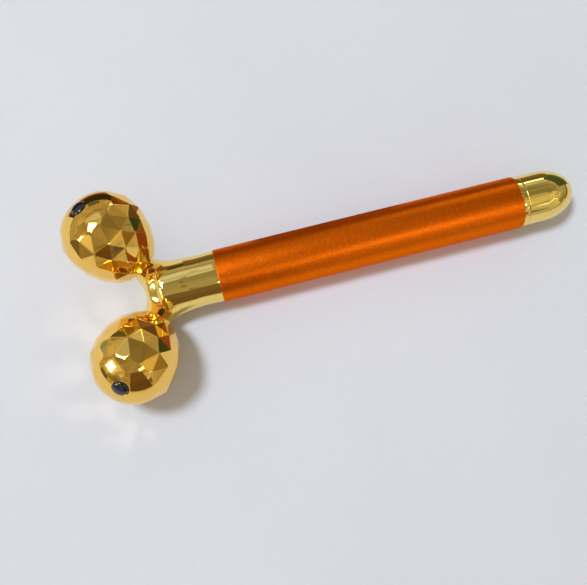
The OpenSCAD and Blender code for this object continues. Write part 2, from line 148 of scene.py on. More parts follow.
def noise(tree, where, scale, detail, rough=0.5):
    return add(tree, "TexNoise", {
        "Vector": where, "Scale": scale, "Detail": detail, "Roughness": rough}).outputs[0]


print("node helpers ready")

# %% Helpers that build and place groups
def start_group(name, ins, outs):
    """A group with its inputs and their defaults, and its outputs, which are all floats."""
    group = bpy.data.node_groups.new(name, "ShaderNodeTree")
    for key, value in ins.items():
        kind = "NodeSocketVector" if isinstance(value, tuple) else "NodeSocketFloat"
        group.interface.new_socket(key, in_out="INPUT", socket_type=kind).default_value = value
    for key in outs:
        group.interface.new_socket(key, in_out="OUTPUT", socket_type="NodeSocketFloat")
    given, results = (group.nodes.new("NodeGroup" + way) for way in ("Input", "Output"))
    return group, given.outputs, results.inputs


def put_out(group, results, **found):
    """Link what was found to the outputs; Smudge_Mask stands for "Smudge Mask"."""
    for name, socket in found.items():
        group.links.new(socket, results[name.replace("_", " ")])


def place_group(tree, group, **values):
    """The group in a material, its inputs given by name in the same way."""
    node = add(tree, "Group", node_tree=group)
    for name, value in values.items():
        feed(tree, value, node.inputs[name.replace("_", " ")])
    return node.outputs


print("group helpers ready")

# %% [markdown]
# ### Handling marks
# Fingers dull plated metal in soft patches, and wiping leaves hairline scratches. Both
# can be painted by hand; noise textures give them without any picture file. The group
# puts out a roughness and a ripple height for a Bump node.

# %% Group: handling marks on polished metal
def build_handling_marks():
    group, given, results = start_group(
        "handling marks",
        {"Roughness": 0.05, "Smudge": 0.04, "Smudge Scale": 180, "Scratch": 0.03,
         "Ripple Scale": 260}, ("Roughness", "Height", "Smudge Mask"))
    where = object_place(group)
    mask = remap(group, noise(group, where, given["Smudge Scale"], 4.0, 0.6), 0.48, 0.68)
    stretch = add(group, "Mapping", {
        "Vector": where, "Rotation": (0.4, 0.7, 0.2), "Scale": (350.0, 6000.0, 6000.0)})
    hairs = remap(group, noise(group, stretch.outputs[0], 1.0, 2.0), 0.66, 0.74)
    rough = math_node(group, "MULTIPLY_ADD", mask, given["Smudge"], given["Roughness"])
    rough = math_node(group, "MULTIPLY_ADD", hairs, given["Scratch"], rough)
    ripple = noise(group, where, given["Ripple Scale"], 1.0)
    put_out(group, results, Roughness=rough, Height=ripple, Smudge_Mask=mask)
    return group


handling_marks = build_handling_marks()
print("group:", handling_marks.name)

# %% [markdown]
# ### Blasted grain
# Before it is dyed, the aluminium tube is blasted with fine beads, so the metal glitters in
# points next to a highlight. Voronoi cells a little over a quarter of a millimetre wide
# make that sparkle: about one in four gets a lighter dye.

# %% Group: blasted grain
def build_blasted_grain():
    group, given, results = start_group(
        "blasted grain", {"Grain Scale": 2800, "Glitter": 0.5},
        ("Height", "Tone", "Glitter Mask"))
    where = object_place(group)
    cells = add(group, "TexVoronoi", {"Vector": where, "Scale": given["Grain Scale"]})
    chance = add(group, "SeparateColor", {0: cells.outputs["Color"]}).outputs
    cloud = noise(group, where, 420.0, 5.0, 0.65)
    tone = math_node(group, "MULTIPLY_ADD", chance[0], 0.35,
                     math_node(group, "MULTIPLY", cloud, 0.65))
    glitter = math_node(group, "MULTIPLY", remap(group, chance[1], 0.76, 1), given["Glitter"])
    put_out(group, results, Height=cloud, Tone=tone, Glitter_Mask=glitter)
    return group


blasted_grain = build_blasted_grain()
print("group:", blasted_grain.name)

# %% [markdown]
# ### Fine tone
# Plastic, rubber, ferrite and copper vary a little in tone and in gloss. One group with a
# noise of a chosen size serves them all.

# %% Group: fine tone
def build_fine_tone():
    group, given, results = start_group(
        "fine tone", {"Scale": 900.0, "Stretch": (1.0, 1.0, 1.0)}, ("Mask", "Height"))
    where = vector_node(group, "MULTIPLY", object_place(group), given["Stretch"])
    broad = noise(group, where, given["Scale"], 5.0, 0.6)
    fine = noise(group, where, math_node(group, "MULTIPLY", given["Scale"], 6.0), 2.0)
    put_out(group, results, Mask=remap(group, broad, 0.35, 0.65), Height=fine)
    return group


fine_tone = build_fine_tone()
print("group:", fine_tone.name)

# %% [markdown]
# ## Finishes
# Each finish is one Principled BSDF. Its fixed numbers sit on the shader's own sockets,
# and only what varies over the surface comes from a group. The plating is a little short
# of a full mirror: a few hundredths of its light are scattered, so the narrow gaps between
# an arm and its ball stay dark gold instead of going black.

# %% Polished plating, rich gold and pale gold
def start_material(name):
    material = bpy.data.materials.new(name)
    material.use_nodes = True
    tree = material.node_tree
    return material, tree, tree.nodes["Principled BSDF"]


def colour_between(tree, shader, mask, dark, light):
    tree.links.new(mix_colour(tree, mask, dark, light), shader.inputs["Base Color"])


def rough_between(tree, shader, mask, low, high):
    tree.links.new(remap(tree, mask, 0.0, 1.0, low, high), shader.inputs["Roughness"])


def bump(tree, shader, height, strength, distance):
    node = add(tree, "Bump", {
        "Height": height, "Strength": strength, "Distance": distance})
    tree.links.new(node.outputs[0], shader.inputs["Normal"])


def polished_plating(name, clean, smudged, mirror):
    """Plating that mirrors this share of its light and scatters the rest."""
    material, tree, shader = start_material(name)
    marks = place_group(tree, handling_marks, Roughness=0.03, Smudge=0.05,
                        Smudge_Scale=150, Scratch=0.04, Ripple_Scale=220)
    colour_between(tree, shader, marks["Smudge Mask"], clean, smudged)
    tree.links.new(marks["Roughness"], shader.inputs["Roughness"])
    bump(tree, shader, marks["Height"], 1.0, 0.0016 * MM)
    shader.inputs["Metallic"].default_value = mirror
    return material


rich_gold = polished_plating(
    "rich gold plating", (1.0, 0.625, 0.13), (0.97, 0.60, 0.125), 0.985)
pale_gold = polished_plating(
    "pale gold plating", (0.98, 0.735, 0.205), (0.95, 0.71, 0.2), 0.955)
print("plating:", rich_gold.name, "and", pale_gold.name)

# %% [markdown]
# The handle is aluminium that was blasted, dyed orange and sealed. It is still a metal
# under the dye, so it is a coloured mirror with a wide, soft highlight, and a specular
# tint keeps the glancing light on its flanks warm.

# %% Orange anodised aluminium
orange_tube, tree, shader = start_material("orange anodised aluminium")
grain = place_group(tree, blasted_grain, Grain_Scale=3600, Glitter=0.75)
dye = mix_colour(tree, grain["Tone"], (0.86, 0.146, 0.0018), (0.95, 0.170, 0.0030))
colour_between(tree, shader, grain["Glitter Mask"], dye, (1.0, 0.33, 0.03))
rough_between(tree, shader, grain["Tone"], 0.34, 0.42)
bump(tree, shader, grain["Height"], 0.4, 0.012 * MM)
shader.inputs["Metallic"].default_value = 1.0
shader.inputs["Specular Tint"].default_value = (0.72, 0.50, 0.40, 1)
print("finish:", orange_tube.name)

# %% [markdown]
# The stones are dense and black, with a high index of refraction, so they mirror the room
# like dark glass.

# %% Black stone
black_stone, tree, shader = start_material("polished black stone")
tone = place_group(tree, fine_tone, Scale=1500.0)
colour_between(tree, shader, tone["Mask"], (0.006, 0.007, 0.010), (0.014, 0.015, 0.020))
rough_between(tree, shader, tone["Mask"], 0.03, 0.06)
shader.inputs["IOR"].default_value = 1.66
print("finish:", black_stone.name)

# %% [markdown]
# The pieces inside are of plain workshop materials, from turned steel to insulated wire.
# One builder makes them all, with their own colours, sizes of grain and gloss.

# %% Workshop materials for the pieces inside
def workshop(name, dark, light, rough, metal=0.0, scale=900.0, stretch=(1.0, 1.0, 1.0),
             grain=0.01, sheen=0.0):
    """Two tones, two roughnesses, and the grain's frequency and its height in mm."""
    material, tree, shader = start_material(name)
    tone = place_group(tree, fine_tone, Scale=scale, Stretch=stretch)
    colour_between(tree, shader, tone["Mask"], dark, light)
    rough_between(tree, shader, tone["Mask"], *rough)
    bump(tree, shader, tone["Height"], 0.6, grain * MM)
    shader.inputs["Metallic"].default_value = metal
    shader.inputs["Sheen Weight"].default_value = sheen
    return material


finishes = {
    "steel": workshop(
        "turned steel", (0.50, 0.51, 0.53), (0.62, 0.63, 0.65), (0.16, 0.26),
        metal=1, scale=1400, stretch=(1, 1, 6)),
    "spring_steel": workshop(
        "spring steel", (0.42, 0.43, 0.45), (0.56, 0.57, 0.59), (0.2, 0.3),
        metal=1, scale=1600),
    "contact_brass": workshop(
        "contact brass", (0.66, 0.46, 0.17), (0.80, 0.58, 0.24), (0.2, 0.32),
        metal=1, scale=1100),
    "bearing_bronze": workshop(
        "bearing bronze", (0.40, 0.22, 0.09), (0.52, 0.30, 0.13), (0.3, 0.42),
        metal=1, scale=2200),
    "cell_jacket": workshop(
        "cell jacket", (0.030, 0.048, 0.075), (0.040, 0.062, 0.095), (0.22, 0.3),
        scale=500),
    "natural_plastic": workshop(
        "natural acetal plastic", (0.72, 0.70, 0.63), (0.80, 0.78, 0.71), (0.35, 0.5),
        scale=700, grain=0.02),
    "black_plastic": workshop(
        "black moulded plastic", (0.016, 0.017, 0.018), (0.026, 0.027, 0.029), (0.4, 0.55),
        scale=800, grain=0.03),
    "black_rubber": workshop(
        "black rubber", (0.012, 0.012, 0.013), (0.022, 0.022, 0.023), (0.65, 0.8),
        grain=0.03, sheen=0.15),
    "magnet_ferrite": workshop(
        "magnet ferrite", (0.035, 0.036, 0.040), (0.060, 0.061, 0.065), (0.5, 0.7),
        metal=0.2, scale=2600, grain=0.03),
    "winding": workshop(
        "copper winding", (0.44, 0.13, 0.04), (0.72, 0.28, 0.10), (0.25, 0.4),
        metal=1, scale=500, stretch=(1, 14, 14), grain=0.06),
    "red_wire": workshop(
        "red wire insulation", (0.42, 0.022, 0.016), (0.50, 0.030, 0.022), (0.35, 0.45),
        scale=1200),
    "black_wire": workshop(
        "black wire insulation", (0.013, 0.013, 0.015), (0.022, 0.022, 0.025), (0.35, 0.45),
        scale=1200),
    "anodised_orange": orange_tube, "pale_gold_plate": pale_gold,
    "rich_gold_plate": rich_gold, "pale_gold_metal": pale_gold, "black_stone": black_stone,
}
print("finishes", len(finishes))

# %% [markdown]
# The record names a finish for every solid, so one loop dresses them all. Assigning them
# by hand would do too, but the loop can't forget one. The skins made further on replace
# eight of the solids.

# %% Give every solid its finish
for part in frame["record"]["subparts"]:
    solid = nodes[part["node"]]
    solid.data.materials.clear()
    solid.data.materials.append(finishes[part["material_slot"]])
print("solids dressed", len(nodes))

# %% [markdown]
# ## Table
# The table is a plain pale surface, a touch cool, with a faint mottle so that it does not
# look like empty space. A plane is enough; it is not part of the roller.

# %% Table
floor_z, table_half = -9.0, 2500


def stage_sheet(name, corners, material):
    mesh = bpy.data.meshes.new(name)
    mesh.from_pydata([tuple(v * MM for v in c) for c in corners], [],
                     [tuple(range(len(corners)))])
    mesh.materials.append(material)
    sheet = in_scene(name, mesh)
    return sheet


pale_table, tree, shader = start_material("pale table")
where = object_place(tree)
broad, fine = noise(tree, where, 9.0, 3.0), noise(tree, where, 320.0, 4.0)
blend = math_node(tree, "MULTIPLY_ADD", fine, 0.25, math_node(tree, "MULTIPLY", broad, 0.75))
colour_between(tree, shader, remap(tree, blend, 0.35, 0.65),
               (0.665, 0.668, 0.700), (0.700, 0.700, 0.730))
shader.inputs["Roughness"].default_value = 0.75
shader.inputs["Specular IOR Level"].default_value = 0.25
stage_sheet("table", [(x * table_half, y * table_half, floor_z)
                      for x, y in ((-1, -1), (1, -1), (1, 1), (-1, 1))], pale_table)
print("table at", floor_z, "mm")

# %% [markdown]
# ## Light
# One big softbox to the left, a little behind the balls, throws the short soft shadows
# to the right. The world fills the rest evenly, so a colour renders about as it is
# written. Camera rays see a paler backdrop, which lights nothing. Lamps are hidden from
# mirror rays, because the metal gets its own room to reflect further on.

# %% Softbox and world
def direction(azimuth, elevation):
    a, e = math.radians(azimuth), math.radians(elevation)
    return Vector(spot(math.cos(e), a, math.sin(e)))


def area_lamp(name, size, watts, colour):
    lamp = bpy.data.lights.new(name, "AREA")
    lamp.shape = "RECTANGLE"
    lamp.size, lamp.size_y = size
    lamp.energy = watts
    lamp.color = colour
    return lamp


def hang_lamp(name, lamp, place, back):
    """A lamp at a place in metres that shines away from `back`; mirrors don't show it."""
    thing = in_scene(name, lamp)
    thing.location = place
    thing.rotation_euler = back.to_track_quat("Z", "Y").to_euler()
    thing.visible_glossy = False
    return thing


key_from, key_distance = direction(143, 66), 2.4
key = hang_lamp("key softbox",
                area_lamp("key softbox", (0.46, 0.42), 38.0, (0.858, 0.973, 1.12)),
                Vector((-0.03, 0.0, 0.0)) + key_from * key_distance, key_from)
world = bpy.data.worlds.new("studio")
bpy.context.scene.world = world
world.use_nodes = True
backdrop = world.node_tree.nodes["Background"]
seen = add(world.node_tree, "LightPath").outputs["Is Camera Ray"]
fill, pale = (0.49, 0.443, 0.377), (0.62, 0.62, 0.645)
world.node_tree.links.new(mix_colour(world.node_tree, seen, fill, pale), backdrop.inputs["Color"])

# %% [markdown]
# ### Light thrown by the facets
# Polished flats throw warm patches of light on the table. A path tracer finds such paths
# only by luck and smears them, so each patch is a small spot lamp at a ball's side,
# aimed at the table. A dim strip under the tube's near side does the same for the red
# glow that the dyed metal leaves beside its shadow.

# %% Thrown light
# ball B's middle seen from above, and the ring where the lamps hang, in mm
heart, ring_size, lift = Vector((-86, -22)), 17, 5
# middle of each patch on the table, seen from above, and its width, in mm
patches = [
    (-91.6, -0.6, 16), (-106, -1.5, 15), (-100, -8.0, 11), (-110, -19, 14), (-109, -33, 10),
    (-101.5, -34, 9), (-95.5, -43, 10), (-122, -18.7, 18), (-103, -44, 6), (-115, -31, 7),
    (-124, -27, 10), (-113, -4, 8), (-89, -46, 6), (-99.5, -38.5, 6), (-98, -46.5, 8),
]
for number, (x, y, width) in enumerate(patches):
    side = heart + (Vector((x, y)) - heart).normalized() * ring_size
    start = Vector((*side, lift))
    run = Vector((x, y, floor_z)) - start
    lamp = bpy.data.lights.new("patch %d" % number, "SPOT")
    lamp.energy = 0.0013
    lamp.color = (1.0, 0.86, 0.58)
    lamp.spot_blend = 1.0
    lamp.shadow_soft_size = 0.8 * MM
    lamp.spot_size = 2 * math.atan(width / 2 / run.length)
    hang_lamp("patch_%d" % number, lamp, start * MM, -run)
print("patches", len(patches))

# %% Red glow beside the tube
glow = hang_lamp("tube glow", area_lamp("tube glow", (0.104, 0.003), 0.0006, (1.0, 0.22, 0.12)),
                 Vector((0, -9.6, -3.0)) * MM, Vector((0, -0.35, 0.94)))
print("glow at mm", [round(v / MM, 1) for v in glow.location])

# %% [markdown]
# ## A room for the metal to mirror
# Every tone on polished gold is a piece of the room. A picture of a real room could be
# wrapped round the scene, but plain panes and cards stay under control, as in a product
# studio. A dome seen only by mirror rays carries a warm grey ceiling, lit walls, three
# windows, a long lamp and some shelves and boxes. It lights nothing and hides nothing.

# %% Group: a pane in the room
def build_room_pane():
    """1 on a rectangle in the direction `Centre`, seen from the middle of the room."""
    group, given, results = start_group(
        "room pane",
        {"Direction": (0.0, 0.0, 1.0), "Centre": (0.0, 0.0, 1.0), "Across": (1.0, 0.0, 0.0),
         "Upward": (0.0, 1.0, 0.0), "Half Width": 0.1, "Half Height": 0.1, "Edge": 0.02},
        ("Mask",))
    ahead, across, upward = [
        vector_node(group, "DOT_PRODUCT", given["Direction"], given[key])
        for key in ("Centre", "Across", "Upward")]
    depth = math_node(group, "MAXIMUM", ahead, 0.001)
    masks = []
    for offset, half in ((across, "Half Width"), (upward, "Half Height")):
        out = math_node(group, "ABSOLUTE", math_node(group, "DIVIDE", offset, depth))
        reach = math_node(group, "SUBTRACT", given[half], out)
        soft = math_node(group, "DIVIDE", reach, given["Edge"])
        masks.append(math_node(group, "ADD", soft, 0.5, clamp=True))
    facing = math_node(group, "GREATER_THAN", ahead, 0.0)
    both = math_node(group, "MULTIPLY", *masks)
    put_out(group, results, Mask=math_node(group, "MULTIPLY", both, facing))
    return group


room_pane = build_room_pane()
print("group:", room_pane.name)

# %% The room's dome
def start_glow(name):
    """A material without its usual shader, and its node tree."""
    material = bpy.data.materials.new(name)
    material.use_nodes = True
    material.node_tree.nodes.clear()
    return material, material.node_tree


def mirror_only(thing):
    """Shown to mirror rays alone, so it lights nothing and hides nothing."""
    thing.visible_camera = thing.visible_diffuse = thing.visible_shadow = False
    thing.visible_transmission = thing.visible_volume_scatter = False


def dome_mesh(radius=1.2, rings=24, around=64, lowest=-8, span=97.9):
    points = [spot(radius * math.cos(e), 2 * math.pi * k / around, radius * math.sin(e))
              for e in (math.radians(lowest + span * i / rings) for i in range(rings + 1))
              for k in range(around)]
    faces = [(i * around + k, i * around + n, (i + 1) * around + n, (i + 1) * around + k)
             for i in range(rings) for k, n in ((k, (k + 1) % around) for k in range(around))]
    mesh = bpy.data.meshes.new("room dome")
    mesh.from_pydata(points, [], faces)
    mesh.shade_smooth()
    return mesh


def room_dome(panes, ceiling_low, ceiling_high):
    material, tree = start_glow("room")
    toward = vector_node(tree, "NORMALIZE", object_place(tree))
    x, y, height = add(tree, "SeparateXYZ", {0: toward}).outputs
    colour = mix_colour(tree, remap(tree, height, 0.1, 0.85), ceiling_low, ceiling_high)
    over = math_node(tree, "ADD", height, 0.35)
    plan = add(tree, "CombineXYZ", {
        0: math_node(tree, "DIVIDE", x, over), 1: math_node(tree, "DIVIDE", y, over)})
    panels = add(tree, "TexBrick", {
        "Vector": plan.outputs[0], "Color1": (0.76, 0.76, 0.78, 1),
        "Color2": (1.30, 1.28, 1.22, 1), "Mortar": (0.62, 0.60, 0.56, 1), "Scale": 3.4,
        "Mortar Size": 0.014, "Mortar Smooth": 0.2, "Brick Width": 0.9, "Row Height": 0.45})
    for azimuth, elevation, roll, wide, high, edge, tone in panes:
        centre = direction(azimuth, elevation)
        across = Vector((0, 0, 1)).cross(centre).normalized()
        upward = centre.cross(across)
        turn = Matrix.Rotation(math.radians(roll), 3, centre)
        mask = place_group(
            tree, room_pane, Direction=toward, Centre=tuple(centre),
            Across=tuple(turn @ across), Upward=tuple(turn @ upward), Edge=edge,
            Half_Width=math.tan(math.radians(wide)), Half_Height=math.tan(math.radians(high)))
        colour = mix_colour(tree, mask[0], colour, tone)
    colour = vector_node(tree, "MULTIPLY", colour, panels.outputs[0])
    light = add(tree, "Emission", {"Color": colour, "Strength": 1.0})
    add(tree, "OutputMaterial", {"Surface": light.outputs[0]})
    mesh = dome_mesh()
    mesh.materials.append(material)
    dome = in_scene("room_dome", mesh)
    mirror_only(dome)


# azimuth, elevation, roll, half width, half height in degrees, edge softness, colour
room = [
    (-30, 50, 0, 20, 22, 0.08, (0.58, 0.50, 0.30)),  # lit wall
    (45, 53, 0, 25, 17, 0.08, (0.24, 0.21, 0.145)),  # dark beam
    (118, 50, 0, 16, 16, 0.10, (0.55, 0.58, 0.66)),  # wall by the window
    (4, 2, 0, 27, 5, 0.04, (0.12, 0.10, 0.06)),  # dark plinth
    (-168, 3, 0, 9, 6, 0.04, (0.13, 0.11, 0.07)),  # dark crate
    (-26, 13, 0, 14, 6, 0.05, (0.24, 0.17, 0.07)),  # low cupboard
    (0, 12, 0, 7, 5, 0.05, (0.27, 0.28, 0.30)),  # steel pan
    (-62, 27, 0, 24, 17, 0.08, (0.58, 0.53, 0.41)),  # pale wall behind the person
    (-71, 18, 0, 7, 6, 0.04, (0.14, 0.13, 0.14)),  # their sleeve
    (-68, 56, -3, 11, 2.8, 0.015, (4.5, 4.4, 4.1)),  # long lamp
    (62, 25, 0, 9, 7, 0.05, (0.52, 0.54, 0.50)),  # pale shelf
    (103, 4, 0, 9, 6, 0.04, (0.11, 0.10, 0.05)),  # dark stool
    (143, -1, 0, 7, 5, 0.04, (0.23, 0.31, 0.42)),  # blue-grey box
    (-46, 38, 4, 10, 0.9, 0.01, (2.4, 2.3, 1.9)),  # lit edge of a frame
    (-34, 33, 4, 0.8, 5, 0.01, (2.0, 1.9, 1.6)),  # its upright
    (-151, 40, 0, 12, 9, 0.06, (0.58, 0.54, 0.42)),  # lit shelf
    (-150, 18, 0, 13, 7, 0.05, (0.21, 0.16, 0.09)),  # dark shelf
    (150, 24, 0, 16, 8, 0.06, (0.46, 0.42, 0.31)),  # cupboard door
    (143, 57, 20, 9, 9, 0.02, (12.0, 12.0, 12.0)),  # first window
    (164, 66, 10, 6, 2.5, 0.02, (9.0, 9.0, 9.0)),  # its upper pane
    (-172, 30, 15, 11, 12, 0.25, (1.1, 1.1, 1.0)),  # glow round the second window
    (-172, 30, 15, 8, 9, 0.02, (9.0, 9.0, 9.0)),  # second window
    (67, 13, 0, 7, 5, 0.03, (2.8, 2.8, 2.7)),  # far window
]
room_dome(room, (0.44, 0.40, 0.29), (0.29, 0.255, 0.18))
print("panes in the room", len(room))

# %% [markdown]
# Upright cards stand round the table for the same mirror rays: a dark board with a
# terracotta foot, a terracotta and a brown board along the far side, two green cards, and
# the dark shape of a person on the near side. Being close, each one shows only where it
# should: the collar sees the person, the end cap doesn't.

# %% Upright cards
def low_card(name, ends, low, high, tones, split, one_sided=False):
    """A card between two spots from level low to high; its tones meet at level split."""
    material, tree = start_glow(name)
    height = add(tree, "SeparateXYZ", {0: object_place(tree)}).outputs[2]
    above = remap(tree, height, (split - 1.0) * MM, (split + 1.0) * MM)
    surface = add(tree, "Emission", {
        "Color": mix_colour(tree, above, *tones), "Strength": 1.0}).outputs[0]
    if one_sided:
        behind = add(tree, "NewGeometry").outputs["Backfacing"]
        clear = add(tree, "BsdfTransparent").outputs[0]
        surface = add(tree, "MixShader", {0: behind, 1: surface, 2: clear}).outputs[0]
    add(tree, "OutputMaterial", {"Surface": surface})
    (ax, ay), (bx, by) = ends
    corners = [(ax, ay, low), (bx, by, low), (bx, by, high), (ax, ay, high)]
    mirror_only(stage_sheet(name, corners, material))
    return material


low_card("dark_board", ((-130, 62), (-66, 62)), floor_z, 18,
         ((0.30, 0.11, 0.03), (0.020, 0.015, 0.010)), -1)
low_card("brown_board", ((-66, 38), (85, 38)), floor_z, 15,
         ((0.20, 0.12, 0.07), (0.11, 0.065, 0.03)), 0)
low_card("terracotta_board", ((-66, 62), (-25, 62)), floor_z, 14,
         ((0.30, 0.12, 0.03), (0.10, 0.05, 0.02)), 7)
low_card("small_green_card", ((-12, 22), (-12, 37.5)), floor_z, 12,
         ((0.030, 0.065, 0.030), (0.025, 0.055, 0.025)), 0)
low_card("tall_green_card", ((112, 12), (96, 70)), floor_z, 34,
         ((0.10, 0.14, 0.05), (0.030, 0.050, 0.018)), 2)
low_card("person", ((-190, -260), (-10, -260)), 22, 330,
         ((0.12, 0.065, 0.03), (0.15, 0.085, 0.04)), 150)
print("upright cards ready")

# %% [markdown]
# Two small cards stand beside the collar, between the balls and the tube. Only the flats
# that face the tube see them, because a Backfacing switch makes them clear from behind.

# %% Cards beside the collar
low_card("card_by_ball_b", ((-60, -10), (-60, -20)), 4.5, 17,
         ((0.25, 0.07, 0.025), (0.030, 0.065, 0.030)), 11.5, one_sided=True)
low_card("card_by_ball_a", ((-60, 16), (-60, 9.7)), 2.5, 11,
         ((0.22, 0.055, 0.018), (0.22, 0.055, 0.018)), 11.5, one_sided=True)
print("one-sided cards ready")

# %% [markdown]
# A brown mat with a low back edge lies beyond the tube, for mirror rays only. It gives
# the far flanks a warmer table to mirror.

# %% A brown mat beside the tube
mat_left, mat_right, mat_near, mat_far, mat_z = -38, 16, 11, 30, -8.9
mat = low_card("brown_mat_edge", ((mat_left, mat_far), (mat_right, mat_far)), floor_z, -8.8,
               ((0.20, 0.10, 0.035), (0.20, 0.10, 0.035)), 0)
mirror_only(stage_sheet("brown_mat", [
    (mat_left, mat_near, mat_z), (mat_right, mat_near, mat_z),
    (mat_right, mat_far, mat_z), (mat_left, mat_far, mat_z)], mat))
print("mat laid")

# %% [markdown]
# ## Lathe work
# The tube, the ring, the end cap and the stones are round. Blender's Spin or Screw would
# turn a profile too; rings built in code let each edge keep its own small rounding, and
# the Weighted Normal modifier keeps long faces flat next to it.

# %% Turn a profile round an axis
handle_axis, usual_crease = Matrix.Rotation(math.pi / 2, 4, "Y"), 0.6


def face_outward(mesh, ridges=()):
    """Turn all faces outward, and give the edges named in ridges a bevel weight."""
    work = bmesh.new()
    work.from_mesh(mesh)
    bmesh.ops.recalc_face_normals(work, faces=work.faces)
    if ridges:
        weight = work.edges.layers.float.new("bevel_weight_edge")
        for line in work.edges:
            if frozenset(v.index for v in line.verts) in ridges:
                line[weight] = 1.0
    work.to_mesh(mesh)
    work.free()


def piece_from(name, points, faces, material, body, place, crease=usual_crease, ridges=()):
    """A piece from points in mm; edges bent by more than crease (radians) stay sharp."""
    mesh = bpy.data.meshes.new(name)
    mesh.from_pydata([tuple((place @ Vector(p)) * MM) for p in points], [], faces)
    face_outward(mesh, ridges)
    mesh.shade_smooth()
    mesh.set_sharp_from_angle(angle=crease)
    mesh.materials.append(material)
    piece = in_scene(name, mesh)
    if ridges:
        soften = piece.modifiers.new("soften ridges", "BEVEL")
        soften.limit_method = "WEIGHT"
        soften.width = 0.30 * MM
        soften.segments = 3
    piece.modifiers.new("keep flats flat", "WEIGHTED_NORMAL").keep_sharp = True
    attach(piece, body)
    return piece


def turned(profile, around=192, closed=False):
    """A profile of (radius, height) in mm turned round Z; radius 0 makes a pole."""
    points, rings, faces = [], [], []
    for r, z in profile:
        if r == 0:
            rings.append([len(points)])
            points.append((0, 0, z))
        else:
            rings.append(list(range(len(points), len(points) + around)))
            points += [spot(r, 2 * math.pi * k / around, z) for k in range(around)]
    pairs = list(zip(rings, rings[1:])) + ([(rings[-1], rings[0])] if closed else [])
    for a, b in pairs:
        for k in range(around):
            n = (k + 1) % around
            if len(a) == 1:
                faces.append((a[0], b[k], b[n]))
            elif len(b) == 1:
                faces.append((a[k], b[0], a[n]))
            else:
                faces.append((a[k], b[k], b[n], a[n]))
    return points, faces


def rounded(profile, sizes, steps=4, closed=False):
    """The profile with each corner rounded by its size in mm; size 0 leaves it sharp."""
    out = []
    for i, (p, size) in enumerate(zip(profile, sizes)):
        if not size or (not closed and i in (0, len(profile) - 1)):
            out.append(p)
            continue
        here, before = Vector(p), Vector(profile[i - 1])
        after = Vector(profile[(i + 1) % len(profile)])
        a = here + (before - here).normalized() * size
        b = here + (after - here).normalized() * size
        for k in range(steps + 1):
            t = k / steps
            out.append(tuple(a * (1 - t) ** 2 + here * 2 * t * (1 - t) + b * t ** 2))
    return out


print("lathe ready")

# %% Handle tube
tube_front, tube_rear, tube_r, tube_bore = -53.05, 53.05, 9.0, 8.1
tube_profile = rounded(
    [(tube_bore, tube_front), (tube_r, tube_front), (tube_r, tube_rear), (tube_bore, tube_rear)],
    [0.1, 0.14, 0.14, 0.1], closed=True)
tube = piece_from("handle_skin", *turned(tube_profile, closed=True), orange_tube, "handle",
                  handle_axis)
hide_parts("handle_tube")
print("tube", tube_rear - tube_front, "mm long")

# %% [markdown]
# ## Tail ring and end cap
# A thin plated ring closes the tube, and the bullet-shaped cap behind it twists to tension
# the battery spring. The seam between them is only a hair wide, so both edges are
# rounded a little and catch a line of light.

# %% Tail ring
trim_r, ring_rear, sleeve_front, sleeve_r, ring_bore = 8.8, 54.90, 45.05, 8.05, 7.35
ring_profile = rounded(
    [(ring_bore, sleeve_front), (sleeve_r, sleeve_front), (sleeve_r, tube_rear),
     (trim_r, tube_rear), (trim_r, ring_rear), (ring_bore, ring_rear)],
    [0.1, 0.1, 0, 0.12, 0.28, 0.05], closed=True)
ring = piece_from("tail_ring_skin", *turned(ring_profile, closed=True), pale_gold, "handle",
                  handle_axis)
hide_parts("tail_ring")
print("ring shows", round(ring_rear - tube_rear, 2), "mm")

# %% End cap
cap_front, cap_r, cap_side, cap_dome = 54.96, 8.75, 6.7, 12.0
shank_front, shank_r, shank_bore, shank_floor = 47.56, 7.30, 5.4, 57.96
groove_front, groove_rear, groove_r, dome_steps = 53.535, 54.535, 6.4, 40
dome = [(cap_r * math.cos(t), cap_front + cap_side + cap_dome * math.sin(t))
        for t in (math.pi / 2 * i / dome_steps for i in range(dome_steps))]
shank = rounded(
    [(shank_bore, shank_floor), (shank_bore, shank_front), (shank_r, shank_front),
     (shank_r, groove_front), (groove_r, groove_front), (groove_r, groove_rear),
     (shank_r, groove_rear), (shank_r, cap_front), (cap_r, cap_front), dome[0]],
    [0, 0.15, 0.3, 0.05, 0, 0, 0.05, 0, 0.28, 0])
cap_profile = ([(0, shank_floor), (shank_bore, shank_floor)] + shank[1:] + dome[1:]
               + [(0, cap_front + cap_side + cap_dome)])
cap = piece_from("end_cap_skin", *turned(cap_profile), pale_gold, "cap", handle_axis)
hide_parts("end_cap")
print("cap ends at", cap_front + cap_side + cap_dome, "mm")

# %% [markdown]
# ## Faceted balls
# Each ball is a short egg cut with rows of triangles, like a rough gem, and plated in
# rich gold. A smooth dome carries the stone at its tip, and where the first row of flats
# runs into the dome their edges become scallops. A plain icosphere has the wrong rows,
# so the corners are worked out ring by ring, and a Bevel modifier softens only the
# ridges.

# %% Where a ball sits
# the egg's half width, and its half lengths toward the tip and toward the arm, in mm
ball_r, ball_front, ball_rear = 14.3, 12.8, 21.2
# level of the first ring of corners, step to the next ring, corners in a ring, rows
dome_level, row_len, corners_round, row_count = 8.6, 4.74, 15, 5
# the ball's middle before the seam, between the two balls, and above the handle's axis
ball_reach, ball_spread, ball_lift = 33, 43.9, 8.868
rise, splay = math.radians(46.6), math.radians(57.9)
stone_r, stone_seat, stone_height = 2.65, 1.3, 0.9
stone_floor = ball_front * math.sqrt(1 - (stone_r / ball_r) ** 2) - stone_seat


